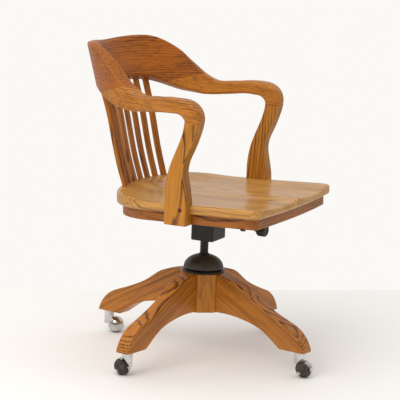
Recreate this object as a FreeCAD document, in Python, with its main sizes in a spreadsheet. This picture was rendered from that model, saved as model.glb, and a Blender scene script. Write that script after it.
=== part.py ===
import FreeCAD, Part
import math
import os
import Sketcher
from FreeCAD import Placement, Rotation, Vector

# Banker's swivel chair in oak, millimetres, +Z up.
# The sitter faces -Y and the origin is on the floor under the swivel axis.

doc = FreeCAD.newDocument("bankers_swivel_chair")
sheet = doc.addObject("Spreadsheet::Sheet", "sizes")

# Driving dimensions: name, value, meaning
DIMENSIONS = [
    ("leg_thickness", 41.0, "base leg, across the grain"),
    ("leg_reach", 338.0, "swivel axis to the outer end of a leg"),
    ("leg_floor_gap", 64.0, "floor to the underside of a leg's end"),
    ("leg_turn", 169.4, "bearing of the first leg, degrees from +X"),
    ("post_flats", 118.0, "octagonal hub post, across flats"),
    ("post_low", 124.0, "hub post, underside height"),
    ("post_high", 226.0, "hub post, top height"),
    ("tube_radius", 19.0, "socket tube in the hub post"),
    ("flange_radius", 56.0, "flange on top of the hub post"),
    ("flange_thickness", 6.0, "flange"),
    ("dome_radius", 53.0, "domed height nut"),
    ("dome_low", 236.5, "rim of the domed nut"),
    ("dome_high", 272.5, "crown of the domed nut"),
    ("spindle_radius", 11.0, "screw spindle"),
    ("spindle_low", 136.0, "lower end of the spindle"),
    ("spindle_high", 338.0, "upper end of the spindle"),
    ("running_gap", 0.05, "radial gap of a running fit"),
    ("dowel_radius", 6.0, "beech dowels between legs and post"),
    ("box_half_width", 41.0, "control housing, half width"),
    ("box_front", 42.5, "control housing, ahead of the axis"),
    ("box_rear", 22.5, "control housing, behind the axis"),
    ("box_low", 313.5, "control housing, underside"),
    ("box_high", 384.0, "control housing, open top"),
    ("box_wall", 5.0, "control housing, wall"),
    ("pivot_y", 5.0, "tilt pivot, behind the swivel axis"),
    ("pivot_z", 372.0, "tilt pivot, height"),
    ("pin_radius", 6.0, "tilt pivot pin"),
    ("rod_z", 357.0, "tension rod, height"),
    ("rod_radius", 4.0, "tension rod"),
    ("knob_radius", 18.0, "tension knob"),
    ("knob_y", 169.0, "tension knob, ahead of the axis"),
    ("spring_radius", 11.0, "tilt spring, mean radius"),
    ("spring_wire", 1.75, "tilt spring, wire radius"),
    ("spring_turns", 5.0, "tilt spring, active turns"),
    ("seat_pitch", 1.7, "seat, degrees up at the front"),
    ("seat_half_width", 247.0, "seat plank, half width"),
    ("seat_thickness", 33.0, "seat plank"),
    ("seat_low", 421.0, "seat plank, underside over the pivot"),
    ("seat_front", 261.0, "seat plank, front corners ahead of the axis"),
    ("seat_bow", 12.0, "bow of the front edge"),
    ("apron_inset", 16.2, "seat plank past the apron"),
    ("apron_height", 27.0, "apron rails"),
    ("apron_thickness", 38.0, "apron rails"),
    ("batten_thickness", 22.0, "battens under the seat"),
    ("post_inner", 230.8, "inner face of an arm post"),
    ("post_thickness", 39.0, "arm post"),
    ("arm_joint", 655.0, "joint between a post and its arm"),
    ("arm_width", 42.0, "arm, across"),
    ("arm_outer", 269.8, "arm, outer face"),
    ("bow_radius", 268.0, "arm bow, outer face"),
    ("bow_centre", 29.0, "arm bow, centre behind the axis"),
    ("bow_rake", 0.29, "backward lean of the crest, run per rise"),
    ("slat_width", 18.0, "back slat"),
    ("slat_thickness", 9.0, "back slat"),
    ("slat_count", 8.0, "back slats"),
    ("ball_radius", 22.5, "ball caster"),
    ("caster_reach", 315.0, "swivel axis to a caster stem"),
    ("caster_trail", 19.0, "caster stem to the ball's centre"),
    ("stem_radius", 5.5, "caster stem"),
]
for row, (alias, value, meaning) in enumerate(DIMENSIONS, start=1):
    sheet.set("A%d" % row, meaning)
    sheet.set("B%d" % row, "%g" % value)
    sheet.setAlias("B%d" % row, alias)
doc.recompute()


def size(alias):
    return float(sheet.get(alias))


PARTS = []


def keep(thing, label):
    """Registers a finished sub-part under its node name."""
    thing.Label = label
    PARTS.append(thing)
    return thing


def vec(point):
    return Vector(point[0], point[1], 0)


def new_body(name):
    body = doc.addObject("PartDesign::Body", name + "_body")
    return body


def origin_plane(body, role):
    for feature in body.Origin.OriginFeatures:
        if feature.Role == role:
            return feature
    raise ValueError(role)


def new_sketch(body, role, offset=0.0, bound=None):
    sketch = body.newObject("Sketcher::SketchObject", body.Name + "_sketch")
    sketch.AttachmentSupport = [(origin_plane(body, role), "")]
    sketch.MapMode = "FlatFace"
    sketch.AttachmentOffset = Placement(Vector(0, 0, offset), Rotation())
    if bound:
        sketch.setExpression("AttachmentOffset.Base.z", bound)
    return sketch


def draw(sketch, edges):
    """Adds a closed run of edges and joins each to the next."""
    start = sketch.GeometryCount
    sketch.addGeometry(edges, False)
    return start


def line(p, q):
    return Part.LineSegment(vec(p), vec(q))


def arc(p, middle, q):
    return Part.Arc(vec(p), vec(middle), vec(q))


def curve(points, leave=None, arrive=None):
    """Smooth curve through points, with a given direction at both ends if wanted."""
    spline = Part.BSplineCurve()
    if leave:
        spline.interpolate(Points=[vec(p) for p in points], InitialTangent=vec(leave),
                           FinalTangent=vec(arrive))
    else:
        spline.interpolate([vec(p) for p in points])
    return spline


def polygon(points):
    closed = list(points) + [points[0]]
    return [line(closed[i], closed[i + 1]) for i in range(len(points))]


def circle_in(sketch, centre, radius, expression=None):
    index = sketch.addGeometry(Part.Circle(vec(centre), Vector(0, 0, 1), radius), False)
    name = "radius%d" % index
    constraint = sketch.addConstraint(Sketcher.Constraint("Radius", index, radius))
    sketch.renameConstraint(constraint, name)
    if expression:
        sketch.setExpression("Constraints." + name, expression)
    return index


def pad(body, sketch, length, expression=None, midplane=False, reverse=False):
    feature = body.newObject("PartDesign::Pad", body.Name + "_pad")
    feature.Profile = sketch
    feature.Length = length
    feature.Midplane = midplane
    feature.Reversed = reverse
    if expression:
        feature.setExpression("Length", expression)
    doc.recompute()
    return feature


def pocket(body, sketch, length, expression=None, midplane=False, reverse=False):
    """Cuts a pocket and makes sure that it took something away."""
    before = body.Shape.Volume
    feature = body.newObject("PartDesign::Pocket", body.Name + "_pocket")
    feature.Profile = sketch
    feature.Length = length
    feature.Midplane = midplane
    feature.Reversed = reverse
    if expression:
        feature.setExpression("Length", expression)
    doc.recompute()
    if not body.Shape.Volume < before - 1e-3:
        raise RuntimeError("empty pocket in " + body.Name)
    return feature


def revolve(body, sketch):
    feature = body.newObject("PartDesign::Revolution", body.Name + "_revolution")
    feature.Profile = sketch
    feature.ReferenceAxis = (sketch, ["V_Axis"])
    feature.Angle = 360
    doc.recompute()
    return feature


def edges_where(shape, test):
    return ["Edge%d" % (i + 1) for i, edge in enumerate(shape.Edges) if test(edge)]


def dress(body, kind, base, names, amount, expression=None):
    """Rounds or chamfers named edges of the last feature."""
    feature = body.newObject("PartDesign::" + kind, body.Name + "_" + kind.lower())
    feature.Base = (base, names)
    if kind == "Fillet":
        feature.Radius = amount
    else:
        feature.Size = amount
    if expression:
        feature.setExpression("Radius" if kind == "Fillet" else "Size", expression)
    doc.recompute()
    return feature


def cylinder(name, radius, height, placement, radius_expression=None):
    feature = doc.addObject("Part::Cylinder", name)
    feature.Radius = radius
    feature.Height = height
    feature.Placement = placement
    if radius_expression:
        feature.setExpression("Radius", radius_expression)
    return feature


def box(name, low, high):
    feature = doc.addObject("Part::Box", name)
    feature.Length = high[0] - low[0]
    feature.Width = high[1] - low[1]
    feature.Height = high[2] - low[2]
    feature.Placement = Placement(Vector(*low), Rotation())
    return feature


def cut(name, base, tools):
    """Takes tools away from a base, one boolean for all of them."""
    if len(tools) > 1:
        group = doc.addObject("Part::MultiFuse", name + "_tools")
        group.Shapes = tools
        tool = group
    else:
        tool = tools[0]
    feature = doc.addObject("Part::Cut", name)
    feature.Base = base
    feature.Tool = tool
    doc.recompute()
    return feature


def fixed_shape(name, shape, placement=None):
    feature = doc.addObject("Part::Feature", name)
    feature.Shape = shape
    if placement:
        feature.Placement = placement
    return feature


def along_x(y, z, start):
    """Placement of a cylinder that runs along +X."""
    return Placement(Vector(start, y, z), Rotation(Vector(0, 1, 0), 90))


def along_minus_y(x, z, start):
    """Placement of a cylinder that runs along -Y."""
    return Placement(Vector(x, start, z), Rotation(Vector(1, 0, 0), 90))


def about_z(angle):
    return Placement(Vector(0, 0, 0), Rotation(Vector(0, 0, 1), angle))


PIVOT = Vector(0, size("pivot_y"), size("pivot_z"))
# Everything fixed to the seat board is drawn level and pitched about the tilt pivot
PITCHED = Placement(Vector(0, 0, 0), Rotation(Vector(1, 0, 0), -size("seat_pitch")), PIVOT)

LEGS = [("right", 0), ("front", 1), ("left", 2), ("back", 3)]
SIDES = [("right", -1), ("left", 1)]


def leg_angle(index):
    return size("leg_turn") + 90.0 * index


# Base legs

DOWEL_HEIGHTS = (150.0, 196.0)
DOWEL_HALF_LENGTH = 30.0
# Sockets pressed into the legs for the caster stems
SLEEVE_RADIUS = 7.5
SLEEVE_DEPTH = 34.0


def make_leg(name, index):
    """S-shaped leg: a swept-down arm with a rounded knuckle over its caster."""
    root = size("post_flats") / 2
    reach = size("leg_reach")
    foot = size("leg_floor_gap")
    body = new_body(name)
    sketch = new_sketch(body, "XZ_Plane")
    top = curve([(root, 226.5), (92, 220.5), (130, 207.5), (172, 179), (225, 151.5), (280, 129.5)])
    knuckle = arc((280, 129.5), (322, 100.5), (reach - 1.5, foot + 12))
    toe = line((reach - 1.5, foot + 12), (reach, foot))
    sole = line((reach, foot), (264, foot))
    belly = curve([(264, foot), (246, 77), (208, 102.5), (158, 118.5), (112, 125.5), (root, 125.5)])
    end = line((root, 125.5), (root, 226.5))
    draw(sketch, [top, knuckle, toe, sole, belly, end])
    solid = pad(body, sketch, size("leg_thickness"), "sizes.leg_thickness", midplane=True)
    half = size("leg_thickness") / 2

    def upper_edge(edge):
        bounds = edge.BoundBox
        along = bounds.XLength > 20 and abs(abs(bounds.Center.y) - half) < 0.1
        return along and bounds.ZMax > 130

    rounded = dress(body, "Fillet", solid, edges_where(solid.Shape, upper_edge), 6.0)

    def lower_edge(edge):
        bounds = edge.BoundBox
        along = bounds.XLength > 20 and abs(abs(bounds.Center.y) - half) < 0.1
        return along and bounds.ZMax < 130

    dress(body, "Chamfer", rounded, edges_where(rounded.Shape, lower_edge), 1.5)
    holes = new_sketch(body, "YZ_Plane")
    for height in DOWEL_HEIGHTS:
        circle_in(holes, (0, height), size("dowel_radius"), "sizes.dowel_radius")
    pocket(body, holes, root + DOWEL_HALF_LENGTH, reverse=True)
    socket = new_sketch(body, "XY_Plane", foot, "sizes.leg_floor_gap")
    circle_in(socket, (size("caster_reach"), 0), SLEEVE_RADIUS)
    pocket(body, socket, SLEEVE_DEPTH, reverse=True)
    body.Placement = about_z(leg_angle(index))
    return keep(body, name)


for leg_name, leg_index in LEGS:
    make_leg("leg_" + leg_name, leg_index)


FLANGE_SCREW_CIRCLE = 43.0
FLANGE_SCREW_RADIUS = 2.5
FLANGE_SCREW_LENGTH = 9.0


def flange_screw_spots():
    """Centres of the flange's screws, between the legs."""
    angles = [math.radians(size("leg_turn") + 45 + 90 * index) for index in range(4)]
    return [Vector(FLANGE_SCREW_CIRCLE * math.cos(a), FLANGE_SCREW_CIRCLE * math.sin(a), 0)
            for a in angles]


def make_hub_post():
    """Octagonal post with four flats for the legs and a bore for the socket tube."""
    low = size("post_low")
    high = size("post_high")
    prism = doc.addObject("Part::Prism", "hub_prism")
    prism.Polygon = 8
    prism.setExpression("Circumradius", "sizes.post_flats / 2 / cos(22.5)")
    prism.setExpression("Height", "sizes.post_high - sizes.post_low")
    prism.Placement = Placement(Vector(0, 0, low), Rotation(Vector(0, 0, 1), size("leg_turn") + 22.5))
    doc.recompute()
    chamfer = doc.addObject("Part::Chamfer", "hub_chamfer")
    chamfer.Base = prism
    rim = [
        (i + 1, 3.0, 3.0)
        for i, edge in enumerate(prism.Shape.Edges)
        if edge.BoundBox.ZMax < low + 0.1
    ]
    chamfer.Edges = rim
    doc.recompute()
    bore = cylinder("hub_bore", size("tube_radius"), high - low + 20,
                    Placement(Vector(0, 0, low - 10), Rotation()), "sizes.tube_radius")
    tools = [bore]
    for _, index in LEGS:
        for height in DOWEL_HEIGHTS:
            tools.append(dowel_cylinder(index, height, "hub_dowel_hole"))
    for spot in flange_screw_spots():
        pilot_low = Vector(0, 0, high + size("flange_thickness") - FLANGE_SCREW_LENGTH - 1.0)
        tools.append(cylinder("hub_pilot_hole", FLANGE_SCREW_RADIUS, FLANGE_SCREW_LENGTH + 2.0,
                              Placement(spot + pilot_low, Rotation())))
    return keep(cut("hub_post_cut", chamfer, tools), "hub_post")


def dowel_cylinder(index, height, name):
    """Cylinder through a leg's inner end and the hub post's wall."""
    start = size("post_flats") / 2 - DOWEL_HALF_LENGTH
    angle = math.radians(leg_angle(index))
    direction = Vector(math.cos(angle), math.sin(angle), 0)
    turn = Rotation(Vector(0, 0, 1), direction)
    place = Placement(direction * start + Vector(0, 0, height), turn)
    return cylinder(name, size("dowel_radius"), 2 * DOWEL_HALF_LENGTH, place, "sizes.dowel_radius")


make_hub_post()

leg_dowels = doc.addObject("Part::Compound", "leg_dowel_set")
leg_dowels.Links = [
    dowel_cylinder(index, height, "leg_dowel") for _, index in LEGS for height in DOWEL_HEIGHTS
]
keep(leg_dowels, "leg_dowels")


# Socket flange, domed nut and spindle

def make_flange():
    """Turned flange with a long socket tube that the spindle slides in."""
    low = size("post_high")
    high = low + size("flange_thickness")
    outer = size("flange_radius")
    tube = size("tube_radius")
    bore = size("spindle_radius") + size("running_gap")
    body = new_body("socket_flange")
    sketch = new_sketch(body, "XZ_Plane")
    rise = 1.8
    points = [
        (bore, 131.0), (tube, 131.0), (tube, low), (outer, low), (outer, low + 3.2),
        (outer - 2.6, low + 4.6), (24.0, high), (24.0, high + rise), (bore, high + rise),
    ]
    draw(sketch, polygon(points))
    revolve(body, sketch)
    holes = new_sketch(body, "XY_Plane", low, "sizes.post_high")
    for index in range(4):
        angle = math.radians(size("leg_turn") + 45 + 90 * index)
        centre = (FLANGE_SCREW_CIRCLE * math.cos(angle), FLANGE_SCREW_CIRCLE * math.sin(angle))
        circle_in(holes, centre, FLANGE_SCREW_RADIUS)
    pocket(body, holes, 20.0, reverse=True)
    return keep(body, "socket_flange")


make_flange()


def wood_screw(head_radius, shank_radius, length, head_height):
    """Round-head wood screw, head up, with its seat at z = 0."""
    profile = Part.Wire([
        Part.LineSegment(Vector(0, 0, -length), Vector(0.6, 0, -length)).toShape(),
        Part.LineSegment(Vector(0.6, 0, -length), Vector(shank_radius, 0, -length + 4)).toShape(),
        Part.LineSegment(Vector(shank_radius, 0, -length + 4), Vector(shank_radius, 0, 0)).toShape(),
        Part.LineSegment(Vector(shank_radius, 0, 0), Vector(head_radius, 0, 0)).toShape(),
        Part.Arc(Vector(head_radius, 0, 0),
                 Vector(head_radius * 0.76, 0, head_height * 0.72),
                 Vector(head_radius * 0.25, 0, head_height)).toShape(),
        Part.LineSegment(Vector(head_radius * 0.25, 0, head_height),
                         Vector(0, 0, head_height)).toShape(),
        Part.LineSegment(Vector(0, 0, head_height), Vector(0, 0, -length)).toShape(),
    ])
    return Part.Face(profile).revolve(Vector(0, 0, 0), Vector(0, 0, 1), 360)


def make_flange_screws():
    """Four screws down through the flange into the hub post, in pilot holes of its own size."""
    seat = size("post_high") + size("flange_thickness") - 0.6
    screws = []
    for spot in flange_screw_spots():
        screw = wood_screw(4.2, FLANGE_SCREW_RADIUS - 0.1, FLANGE_SCREW_LENGTH, 2.4)
        screw.translate(spot + Vector(0, 0, seat))
        screws.append(screw)
    return keep(fixed_shape("flange_screw_set", Part.makeCompound(screws)), "flange_screws")


def make_dome():
    """Hollow domed nut: an elliptical shell with a threaded boss on the axis."""
    low = size("dome_low")
    high = size("dome_high")
    outer = size("dome_radius")
    bore = size("spindle_radius") + size("running_gap")
    wall = 4.0
    rise = high - low
    boss = 20.0
    collar = 14.5

    def on_ellipse(radius, height, x):
        return low + height * math.sqrt(max(0.0, 1 - (x / radius) ** 2))

    outside = [(x, on_ellipse(outer, rise, x)) for x in (22.0, 34.0, 44.0, 50.0, 52.4)]
    inside = [
        (x, on_ellipse(outer - wall, rise - wall, x)) for x in (boss, 32.0, 41.0, 46.5, 48.4)
    ]
    body = new_body("height_nut")
    sketch = new_sketch(body, "XZ_Plane")
    foot = high_of_thrust() + 0.02
    edges = [
        line((bore, foot), (bore, high + 1.2)),
        line((bore, high + 1.2), (collar - 1.5, high + 1.2)),
        arc((collar - 1.5, high + 1.2), (collar + 2.0, high - 1.6), outside[0]),
        curve(outside + [(outer, low + 2.0)]),
        line((outer, low + 2.0), (outer, low)),
        line((outer, low), (outer - wall, low)),
        curve([(outer - wall, low)] + inside[::-1]),
        line(inside[0], (boss, foot)),
        line((boss, foot), (bore, foot)),
    ]
    draw(sketch, edges)
    revolve(body, sketch)
    return keep(body, "height_nut")


def high_of_thrust():
    """Top of the thrust washer between the flange's boss and the nut."""
    return size("post_high") + size("flange_thickness") + 1.8 + 2.5


make_flange_screws()
make_dome()


def make_thrust_washer():
    """Hardened washer that the nut turns on."""
    low = size("post_high") + size("flange_thickness") + 1.8
    bore = size("spindle_radius") + 0.6
    body = new_body("thrust_washer")
    sketch = new_sketch(body, "XZ_Plane")
    top = low + 2.5 - 0.02
    draw(sketch, polygon([(bore, low), (22.5, low), (22.5, top), (bore, top)]))
    revolve(body, sketch)
    return keep(body, "thrust_washer")


make_thrust_washer()


def make_spindle():
    """Screw spindle with a necked stop near its foot and a plain seat at its head."""
    radius = size("spindle_radius")
    low = size("spindle_low")
    high = size("spindle_high")
    body = new_body("spindle")
    sketch = new_sketch(body, "XZ_Plane")
    points = [
        (0, low), (radius - 3, low), (radius, low + 3), (radius, high - 26),
        (radius - 1.5, high - 24.5), (radius - 1.5, high - 21), (radius, high - 19.5),
        (radius, high - 1.5), (radius - 1.5, high), (0, high),
    ]
    draw(sketch, polygon(points))
    revolve(body, sketch)
    return keep(body, "spindle")


make_spindle()


# Tilt control

BOX_CORNER = 6.0


def rounded_rectangle(x0, y0, x1, y1, radius):
    """Edges of a rectangle with round corners, in order."""
    k = radius * (1 - math.sqrt(0.5))
    return [
        line((x0 + radius, y0), (x1 - radius, y0)),
        arc((x1 - radius, y0), (x1 - k, y0 + k), (x1, y0 + radius)),
        line((x1, y0 + radius), (x1, y1 - radius)),
        arc((x1, y1 - radius), (x1 - k, y1 - k), (x1 - radius, y1)),
        line((x1 - radius, y1), (x0 + radius, y1)),
        arc((x0 + radius, y1), (x0 + k, y1 - k), (x0, y1 - radius)),
        line((x0, y1 - radius), (x0, y0 + radius)),
        arc((x0, y0 + radius), (x0 + k, y0 + k), (x0 + radius, y0)),
    ]


def make_housing():
    """Cast box, open at the top, with a boss for the spindle and bearings for pin and rod."""
    half = size("box_half_width")
    front = -size("box_front")
    rear = size("box_rear")
    low = size("box_low")
    high = size("box_high")
    wall = size("box_wall")
    body = new_body("control_housing")
    sketch = new_sketch(body, "XY_Plane", low, "sizes.box_low")
    draw(sketch, rounded_rectangle(-half, front, half, rear, BOX_CORNER))
    block = pad(body, sketch, high - low, "sizes.box_high - sizes.box_low")

    def bottom_rim(edge):
        return edge.BoundBox.ZMax < low + 0.1

    dress(body, "Fillet", block, edges_where(block.Shape, bottom_rim), 3.5)
    hollow = new_sketch(body, "XY_Plane", high, "sizes.box_high")
    draw(hollow, rounded_rectangle(-half + wall, front + wall, half - wall, rear - wall, 2.5))
    pocket(body, hollow, high - low - wall, "sizes.box_high - sizes.box_low - sizes.box_wall")
    boss = new_sketch(body, "XY_Plane", low + 1.0)
    circle_in(boss, (0, 0), 17.0)
    pad(body, boss, 338.5 - low - 1.0)
    bore = new_sketch(body, "XY_Plane", 338.5)
    circle_in(bore, (0, 0), size("spindle_radius"), "sizes.spindle_radius")
    pocket(body, bore, 40.0)
    rod = new_sketch(body, "XZ_Plane", 0.0)
    circle_in(rod, (0, size("rod_z")), size("rod_radius") + size("running_gap"),
              "sizes.rod_radius + sizes.running_gap")
    pocket(body, rod, 200.0, midplane=True)
    pin = new_sketch(body, "YZ_Plane", 0.0)
    circle_in(pin, (size("pivot_y"), size("pivot_z")), size("pin_radius") + size("running_gap"),
              "sizes.pin_radius + sizes.running_gap")
    pocket(body, pin, 200.0, midplane=True)
    return keep(body, "control_housing")


make_housing()


def make_pivot_pin():
    """Pin pressed in the seat iron's ears, with riveted ends outside the housing."""
    half = size("box_half_width") + 5.0
    radius = size("pin_radius")
    shank = cylinder("pin_shank", radius, 2 * half,
                     along_x(size("pivot_y"), size("pivot_z"), -half), "sizes.pin_radius")
    heads = []
    for side in (-1, 1):
        start = -half if side < 0 else half - 4.0
        heads.append(cylinder("pin_head", radius + 3.0, 4.0,
                              along_x(size("pivot_y"), size("pivot_z"), start)))
    fuse = doc.addObject("Part::MultiFuse", "pivot_pin_fuse")
    fuse.Shapes = [shank] + heads
    doc.recompute()
    return keep(fuse, "pivot_pin")


make_pivot_pin()

SLEEVE_OUTER = 9.4
LEVER_HALF_WIDTH = 14.0
LEVER_THICKNESS = 6.0
LEVER_LOW = 343.5
LEVER_FRONT = -1.0


def make_tilt_lever():
    """Forked lever on the pivot pin that pushes the spring forward as the seat leans back."""
    py = size("pivot_y")
    pz = size("pivot_z")
    sleeve = cylinder("lever_sleeve", SLEEVE_OUTER, 2 * LEVER_HALF_WIDTH,
                      along_x(py, pz, -LEVER_HALF_WIDTH))
    tongue = box("lever_tongue", (-LEVER_HALF_WIDTH, LEVER_FRONT, LEVER_LOW),
                 (LEVER_HALF_WIDTH, LEVER_FRONT + LEVER_THICKNESS, pz))
    whole = doc.addObject("Part::MultiFuse", "lever_whole")
    whole.Shapes = [sleeve, tongue]
    doc.recompute()
    pin = cylinder("lever_bore", size("pin_radius"), 80.0, along_x(py, pz, -40.0),
                   "sizes.pin_radius")
    slot = box("lever_slot", (-6.0, LEVER_FRONT - 10, LEVER_LOW - 5),
               (6.0, LEVER_FRONT + 8, size("rod_z") + size("rod_radius") + 1.2))
    return keep(cut("tilt_lever_cut", whole, [pin, slot]), "tilt_lever")


make_tilt_lever()

PLATE_LOW = 394.0
PLATE_THICKNESS = 4.0
PLATE_HALF_X = 80.0
PLATE_HALF_Y = 62.0
EAR_INNER = 30.6
EAR_THICKNESS = 5.0
PLATE_SCREWS = [(x, y) for x in (-66.0, 66.0) for y in (-50.0, 60.0)]


def make_seat_plate():
    """Pressed plate under the battens with two ears down to the pivot pin."""
    py = size("pivot_y")
    pz = size("pivot_z")
    body = new_body("seat_plate")
    sketch = new_sketch(body, "XY_Plane", PLATE_LOW)
    draw(sketch, rounded_rectangle(-PLATE_HALF_X, py - PLATE_HALF_Y, PLATE_HALF_X,
                                   py + PLATE_HALF_Y, 14.0))
    pad(body, sketch, PLATE_THICKNESS)
    for side in (-1, 1):
        ear = new_sketch(body, "YZ_Plane", side * (EAR_INNER + EAR_THICKNESS / 2))
        r = 9.5
        draw(ear, [
            line((py - r, pz), (py - 16.0, PLATE_LOW + 1)),
            line((py - 16.0, PLATE_LOW + 1), (py + 3.0, PLATE_LOW + 1)),
            line((py + 3.0, PLATE_LOW + 1), (py + r, pz)),
            arc((py + r, pz), (py, pz - r), (py - r, pz)),
        ])
        pad(body, ear, EAR_THICKNESS, midplane=True)
    hole = new_sketch(body, "YZ_Plane", 0.0)
    circle_in(hole, (py, pz), size("pin_radius"), "sizes.pin_radius")
    pocket(body, hole, 200.0, midplane=True)
    screws = new_sketch(body, "XY_Plane", PLATE_LOW + PLATE_THICKNESS)
    for x, y in PLATE_SCREWS:
        circle_in(screws, (x, y), 2.6)
    pocket(body, screws, PLATE_THICKNESS + 1)
    body.Placement = PITCHED
    return keep(body, "seat_plate")


make_seat_plate()


def make_plate_screws():
    """Screws up through the seat plate into the battens."""
    screws = []
    for x, y in PLATE_SCREWS:
        screw = wood_screw(4.6, 2.5, 16.0, 2.8)
        screw.rotate(Vector(0, 0, 0), Vector(1, 0, 0), 180)
        screw.translate(Vector(x, y, PLATE_LOW))
        screws.append(screw)
    group = Part.makeCompound(screws)
    return keep(fixed_shape("plate_screw_set", group, PITCHED), "plate_screws")


make_plate_screws()

CUP_FRONT = -36.0
CUP_THICKNESS = 5.0


def make_tension_rod():
    """Threaded rod through the housing with a thrust collar and a guard collar."""
    z = size("rod_z")
    rear = size("box_rear") - 1.0
    front = -size("knob_y") + 6.0
    shaft = cylinder("rod_shaft", size("rod_radius"), rear - front,
                     along_minus_y(0, z, rear), "sizes.rod_radius")
    thrust = cylinder("rod_thrust", 9.0, 5.0, along_minus_y(0, z, -size("box_front") - 0.4))
    guard = cylinder("rod_guard", 11.5, 9.0, along_minus_y(0, z, -106.0))
    fuse = doc.addObject("Part::MultiFuse", "tension_rod_fuse")
    fuse.Shapes = [shaft, thrust, guard]
    doc.recompute()
    return keep(fuse, "tension_rod")


make_tension_rod()


KNOB_NECK = 18.0


def make_knob():
    """Turned knob with a rounded rim, a shallow dished face and finger flutes."""
    radius = size("knob_radius")
    thickness = 16.0
    body = new_body("tension_knob")
    sketch = new_sketch(body, "XZ_Plane")
    edges = [
        line((0, -KNOB_NECK), (7.0, -KNOB_NECK)),
        line((7.0, -KNOB_NECK), (8.5, -10.0)),
        arc((8.5, -10.0), (radius - 1.5, -6.5), (radius, 0.0)),
        line((radius, 0.0), (radius, thickness - 4.0)),
        arc((radius, thickness - 4.0), (radius - 1.2, thickness - 1.0), (radius - 4.0, thickness)),
        arc((radius - 4.0, thickness), (radius / 2, thickness - 1.6), (3.0, thickness - 2.2)),
        line((3.0, thickness - 2.2), (0, thickness - 2.2)),
        line((0, thickness - 2.2), (0, -KNOB_NECK)),
    ]
    draw(sketch, edges)
    revolve(body, sketch)
    flutes = new_sketch(body, "XY_Plane", thickness + 1.0)
    circle_in(flutes, (radius + 1.6, 0), 3.0)
    groove = pocket(body, flutes, thickness + 2.0)
    pattern = body.newObject("PartDesign::PolarPattern", "knob_flutes")
    pattern.Originals = [groove]
    pattern.Axis = (sketch, ["V_Axis"])
    pattern.Angle = 360
    pattern.Occurrences = 10
    body.Tip = pattern
    doc.recompute()
    bore = cylinder("knob_bore", size("rod_radius"), KNOB_NECK + 6.0,
                    Placement(Vector(0, 0, -KNOB_NECK - 0.5), Rotation()), "sizes.rod_radius")
    body_cut = cut("tension_knob_cut", body, [bore])
    body_cut.Placement = Placement(Vector(0, -size("knob_y") + 8.0, size("rod_z")),
                                   Rotation(Vector(1, 0, 0), 90))
    return keep(body_cut, "tension_knob")


make_knob()


def make_spring_cup():
    """Threaded cup that the rod draws along, taking up the spring."""
    disc = cylinder("cup_disc", 14.0, CUP_THICKNESS,
                    along_minus_y(0, size("rod_z"), CUP_FRONT + CUP_THICKNESS))
    nose = cylinder("cup_nose", 8.0, 5.0,
                    along_minus_y(0, size("rod_z"), CUP_FRONT + CUP_THICKNESS + 5.0))
    whole = doc.addObject("Part::MultiFuse", "cup_whole")
    whole.Shapes = [disc, nose]
    doc.recompute()
    bore = cylinder("cup_bore", size("rod_radius") + size("running_gap"), 40.0,
                    along_minus_y(0, size("rod_z"), 0.0),
                    "sizes.rod_radius + sizes.running_gap")
    return keep(cut("spring_cup_cut", whole, [bore]), "spring_cup")


make_spring_cup()


def make_spring():
    """Open coil spring about the rod, one unbroken round wire on biarcs."""
    mean = size("spring_radius")
    wire = size("spring_wire")
    turns = size("spring_turns")
    start = CUP_FRONT + CUP_THICKNESS + wire + 0.3
    finish = LEVER_FRONT - wire - 0.3
    z = size("rod_z")
    quarters = int(turns * 4)

    def on_coil(u):
        angle = 2 * math.pi * turns * u
        return Vector(mean * math.cos(angle), start + (finish - start) * u, z + mean * math.sin(angle))

    edges = []
    for i in range(quarters):
        a = on_coil(i / quarters)
        b = on_coil((i + 0.5) / quarters)
        c = on_coil((i + 1) / quarters)
        edges.append(Part.Arc(a, b, c).toShape())
    path = Part.Wire(edges)
    tangent = path.Edges[0].tangentAt(path.Edges[0].FirstParameter)
    ring = Part.Wire(Part.Circle(on_coil(0), tangent, wire).toShape())
    shell = Part.BRepOffsetAPI.MakePipeShell(path)
    shell.add(ring)
    shell.build()
    shell.makeSolid()
    pitch = abs(finish - start) / turns
    print("tilt spring: least gap between turns %.2f mm" % (pitch - 2 * wire))
    return keep(fixed_shape("tilt_spring_wire", shell.shape()), "tilt_spring")


make_spring()


# Seat board, apron and battens

CORNER_X = 109.0
CORNER_Y = 51.5
FRONT_CORNER = 20.0


def seat_outline(inset, front_corner):
    """Plan of the seat: bowed front, straight sides, squared round back."""
    half = size("seat_half_width") - inset
    side = half - CORNER_X
    back_centre = -177.5
    back = math.hypot(CORNER_X, CORNER_Y - back_centre) + side
    front = -size("seat_front") + inset * 0.75
    bow = size("seat_bow") * (1 - inset / 60.0)
    turn = math.atan2(CORNER_X, CORNER_Y - back_centre)
    joint = (CORNER_X + side * math.sin(turn), CORNER_Y + side * math.cos(turn))
    middle_turn = (turn + math.pi / 2) / 2
    shoulder = (CORNER_X + side * math.sin(middle_turn), CORNER_Y + side * math.cos(middle_turn))
    k = front_corner * (1 - math.sqrt(0.5))
    edges = [
        line((half, front + front_corner), (half, CORNER_Y)),
        arc((half, CORNER_Y), shoulder, joint),
        arc(joint, (0, back_centre + back), (-joint[0], joint[1])),
        arc((-joint[0], joint[1]), (-shoulder[0], shoulder[1]), (-half, CORNER_Y)),
        line((-half, CORNER_Y), (-half, front + front_corner)),
        arc((-half, front + front_corner), (-half + k, front + k), (-half + front_corner, front)),
        arc((-half + front_corner, front), (0, front - bow), (half - front_corner, front)),
        arc((half - front_corner, front), (half - k, front + k), (half, front + front_corner)),
    ]
    return edges


def ease(t):
    """Smooth step from 0 to 1."""
    t = min(1.0, max(0.0, t))
    return t * t * (3 - 2 * t)


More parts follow.
